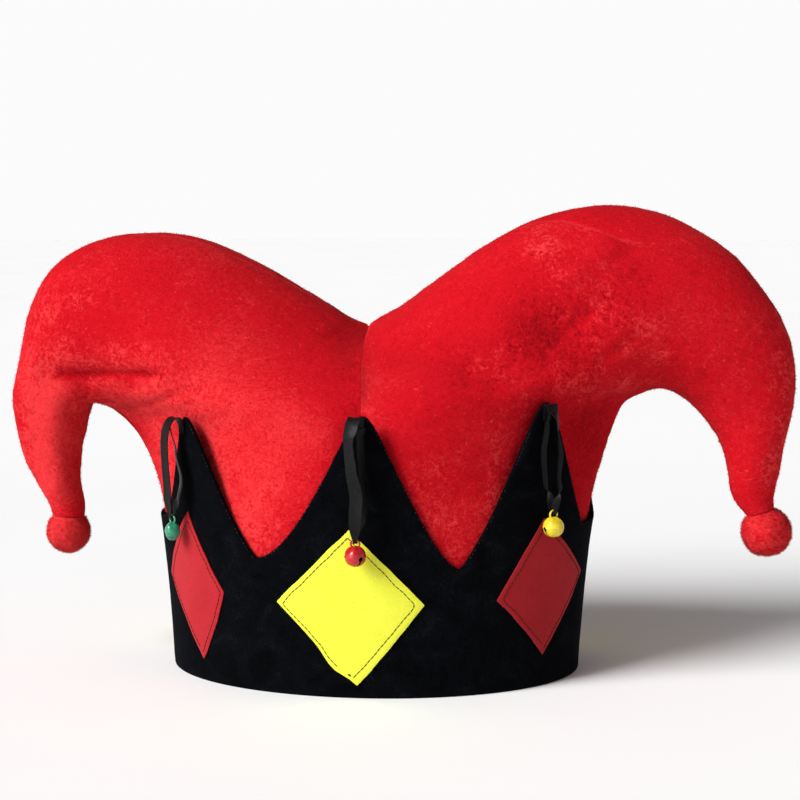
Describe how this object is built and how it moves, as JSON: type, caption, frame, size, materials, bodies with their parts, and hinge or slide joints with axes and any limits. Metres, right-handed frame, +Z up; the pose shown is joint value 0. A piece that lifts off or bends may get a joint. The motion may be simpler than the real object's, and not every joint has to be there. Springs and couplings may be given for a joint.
{
  "type": "jester hat",
  "caption": "Soft jester hat with drooping horns that end in plush balls, a pointed turned-up cuff with felt diamonds, and small bells hanging on ribbon loops.",
  "frame": {"origin": "middle of the hat's width and depth, on the surface that its rim stands on", "axes": "+Z up, the front towards -Y, +X towards the right as seen from the front"},
  "size_m": [0.3866, 0.1729, 0.2247],
  "materials": {
    "red_plush": "short crushed plush",
    "black_velvet": "matt short velvet",
    "yellow_felt": "thin matt felt",
    "red_felt": "thin matt felt",
    "black_satin": "satin ribbon",
    "red_paint": "glossy metallic paint",
    "yellow_paint": "glossy metallic paint",
    "green_paint": "glossy metallic paint"
  },
  "bodies": {
    "root": {"crown_front_left": "red_plush", "crown_front_right": "red_plush", "crown_back_left": "red_plush", "crown_back_right": "red_plush", "plush_ball_left": "red_plush", "plush_ball_right": "red_plush", "cuff": "black_velvet", "diamond_1": "yellow_felt", "ribbon_1": "black_satin", "bell_1": "red_paint", "diamond_2": "red_felt", "ribbon_2": "black_satin", "bell_2": "yellow_paint", "diamond_3": "yellow_felt", "ribbon_3": "black_satin", "bell_3": "green_paint", "diamond_4": "red_felt", "ribbon_4": "black_satin", "bell_4": "red_paint", "diamond_5": "yellow_felt", "ribbon_5": "black_satin", "bell_5": "yellow_paint", "diamond_6": "red_felt", "ribbon_6": "black_satin", "bell_6": "green_paint"}
  },
  "joints": []
}
